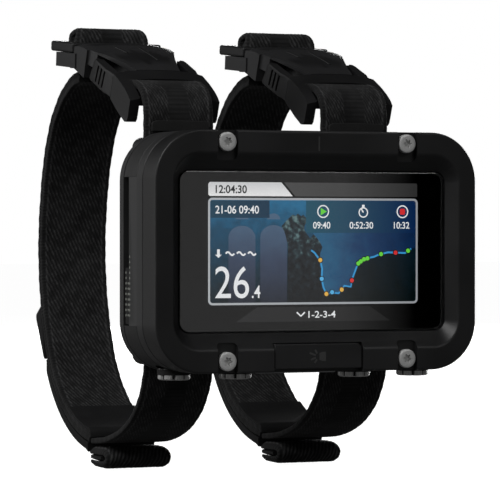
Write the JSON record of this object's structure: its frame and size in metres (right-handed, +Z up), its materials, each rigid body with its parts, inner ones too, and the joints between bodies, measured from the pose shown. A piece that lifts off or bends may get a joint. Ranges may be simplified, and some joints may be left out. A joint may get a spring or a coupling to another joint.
{
  "type": "dive computer",
  "caption": "Wrist dive computer with a sealed case, wide colour screen, bottom push buttons and webbing straps with side-release buckles.",
  "frame": {"origin": "centre of the flat pad in the middle of the case's back", "axes": "+X to the right along the screen, +Y from the screen towards the wrist and the strap loops, +Z up the screen"},
  "size_m": [0.0992, 0.1294, 0.1325],
  "materials": {
    "case_plastic": "satin moulded black, lightly textured",
    "band_rubber": "matte dark grey",
    "lens_glass": "polished flat cover glass",
    "display": "lit colour display behind black glass border",
    "seal_rubber": "matte black",
    "steel": "satin brushed",
    "board": "solder mask",
    "cell_foil": "foil pouch",
    "clear_plastic": "frosted clear",
    "webbing": "black woven elastic with twill ribs",
    "strap_trim": "smooth black coated end pieces",
    "buckle_plastic": "satin black acetal"
  },
  "bodies": {
    "root": {"bezel": "case_plastic", "light_panel": "case_plastic", "lens": "lens_glass", "lens_gasket": "seal_rubber", "display_panel": "display", "mid_case": "case_plastic", "wrap_band": "band_rubber", "side_grille": "case_plastic", "back_cover": "case_plastic", "back_gasket": "seal_rubber", "charging_contacts": "steel", "case_screw_upper_left": "steel", "case_screw_upper_right": "steel", "case_screw_lower_left": "steel", "case_screw_lower_right": "steel", "circuit_board": "board", "battery": "cell_foil", "pressure_sensor": "steel", "vibration_motor": "steel", "light_board": "board", "light_window": "clear_plastic", "button_spring_1": "steel", "button_seal_1": "seal_rubber", "button_spring_2": "steel", "button_seal_2": "seal_rubber", "button_spring_3": "steel", "button_seal_3": "seal_rubber", "button_spring_4": "steel", "button_seal_4": "seal_rubber", "strap_bridge_left": "case_plastic", "strap_front_left": "webbing", "strap_rear_left": "webbing", "strap_fold_left": "webbing", "strap_end_patch_left": "strap_trim", "strap_tip_left": "strap_trim", "strap_label_left": "strap_trim", "buckle_male_left": "buckle_plastic", "strap_bridge_right": "case_plastic", "strap_front_right": "webbing", "strap_rear_right": "webbing", "strap_fold_right": "webbing", "strap_end_patch_right": "strap_trim", "strap_tip_right": "strap_trim", "strap_label_right": "strap_trim", "buckle_male_right": "buckle_plastic"},
    "button_1": {"button_cap_1": "steel"},
    "button_2": {"button_cap_2": "steel"},
    "button_3": {"button_cap_3": "steel"},
    "button_4": {"button_cap_4": "steel"},
    "squeeze_arm_outer_left": {"squeeze_arm_outer_left": "buckle_plastic"},
    "squeeze_arm_inner_left": {"squeeze_arm_inner_left": "buckle_plastic"},
    "buckle_rear_left": {"buckle_female_left": "buckle_plastic", "adjuster_plate_left": "buckle_plastic", "strap_top_fold_left": "webbing"},
    "squeeze_arm_outer_right": {"squeeze_arm_outer_right": "buckle_plastic"},
    "squeeze_arm_inner_right": {"squeeze_arm_inner_right": "buckle_plastic"},
    "buckle_rear_right": {"buckle_female_right": "buckle_plastic", "adjuster_plate_right": "buckle_plastic", "strap_top_fold_right": "webbing"}
  },
  "joints": [
    {"name": "button_1_press", "type": "slide", "parent": "root", "child": "button_1", "axis": [0, 0, 1], "range_m": [0, 0.001], "stiffness_N_per_m": 600, "springref_m": -0.001, "deforming": ["button_spring_1"]},
    {"name": "button_2_press", "type": "slide", "parent": "root", "child": "button_2", "axis": [0, 0, 1], "range_m": [0, 0.001], "stiffness_N_per_m": 600, "springref_m": -0.001, "deforming": ["button_spring_2"]},
    {"name": "button_3_press", "type": "slide", "parent": "root", "child": "button_3", "axis": [0, 0, 1], "range_m": [0, 0.001], "stiffness_N_per_m": 600, "springref_m": -0.001, "deforming": ["button_spring_3"]},
    {"name": "button_4_press", "type": "slide", "parent": "root", "child": "button_4", "axis": [0, 0, 1], "range_m": [0, 0.001], "stiffness_N_per_m": 600, "springref_m": -0.001, "deforming": ["button_spring_4"]},
    {"name": "squeeze_outer_left", "type": "hinge", "parent": "root", "child": "squeeze_arm_outer_left", "pos_m": [-0.0396, 0.0254, 0.04814], "axis": [0, 0.3584, -0.9336], "range_deg": [0, 4.5], "stiffness_Nm_per_rad": 0.6, "springref_deg": -1.15},
    {"name": "squeeze_inner_left", "type": "hinge", "parent": "root", "child": "squeeze_arm_inner_left", "pos_m": [-0.0164, 0.0254, 0.04814], "axis": [0, -0.3584, 0.9336], "range_deg": [0, 4.5], "stiffness_Nm_per_rad": 0.6, "springref_deg": -1.15},
    {"name": "buckle_release_left", "type": "slide", "parent": "root", "child": "buckle_rear_left", "axis": [0, 0.9336, 0.3584], "range_m": [0, 0.022]},
    {"name": "squeeze_outer_right", "type": "hinge", "parent": "root", "child": "squeeze_arm_outer_right", "pos_m": [0.0164, 0.0254, 0.04814], "axis": [0, 0.3584, -0.9336], "range_deg": [0, 4.5], "stiffness_Nm_per_rad": 0.6, "springref_deg": -1.15},
    {"name": "squeeze_inner_right", "type": "hinge", "parent": "root", "child": "squeeze_arm_inner_right", "pos_m": [0.0396, 0.0254, 0.04814], "axis": [0, -0.3584, 0.9336], "range_deg": [0, 4.5], "stiffness_Nm_per_rad": 0.6, "springref_deg": -1.15},
    {"name": "buckle_release_right", "type": "slide", "parent": "root", "child": "buckle_rear_right", "axis": [0, 0.9336, 0.3584], "range_m": [0, 0.022]}
  ]
}
